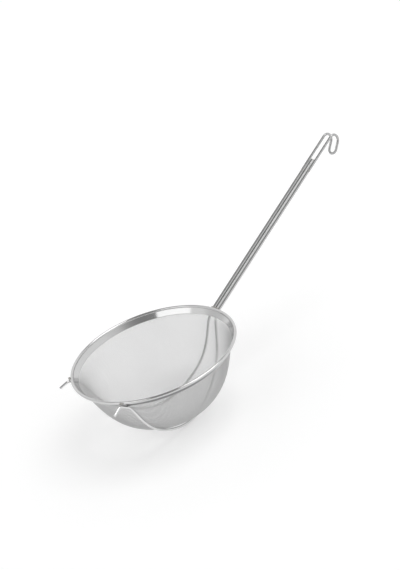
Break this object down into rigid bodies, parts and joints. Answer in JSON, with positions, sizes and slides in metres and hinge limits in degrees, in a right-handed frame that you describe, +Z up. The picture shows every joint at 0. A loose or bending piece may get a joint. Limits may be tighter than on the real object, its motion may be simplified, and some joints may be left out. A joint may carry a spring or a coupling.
{
  "type": "mesh skimmer",
  "caption": "Fine woven-wire bowl skimmer with a rolled rim, pot rests, a flat handle of welded wires and a folded hanging loop.",
  "frame": {"origin": "centre of the bounding box in plan, on the level that the two cradle wires stand on", "axes": "+X along the handle's plan direction, from the bowl towards the hanging loop; +Y to the right of a user who holds the handle and looks at the bowl's far side from behind it; +Z up, along the bowl's axis, with the rim level"},
  "size_m": [0.4576, 0.2, 0.1976],
  "materials": {
    "mesh_steel": "fine woven stainless wire cloth, softly bright",
    "rim_steel": "polished rolled sheet",
    "wire_steel": "bright drawn wire",
    "filler_steel": "bright drawn wire, a little duller",
    "weld_steel": "electropolished weld, dull"
  },
  "bodies": {
    "root": {"mesh_bowl": "mesh_steel", "rim_band": "rim_steel", "rim_core_wire": "wire_steel", "cradle_wire_left": "wire_steel", "cradle_wire_right": "wire_steel", "handle_filler_left": "filler_steel", "handle_filler_right": "filler_steel", "hanging_loop": "wire_steel", "rim_handle_weld": "weld_steel", "rest_weld_left": "weld_steel", "rest_weld_right": "weld_steel", "loop_weld_left": "weld_steel", "loop_weld_right": "weld_steel", "tack_weld_middle_left": "weld_steel", "tack_weld_middle_centre": "weld_steel", "tack_weld_middle_right": "weld_steel", "tack_weld_upper_left": "weld_steel", "tack_weld_upper_centre": "weld_steel", "tack_weld_upper_right": "weld_steel"}
  },
  "joints": []
}
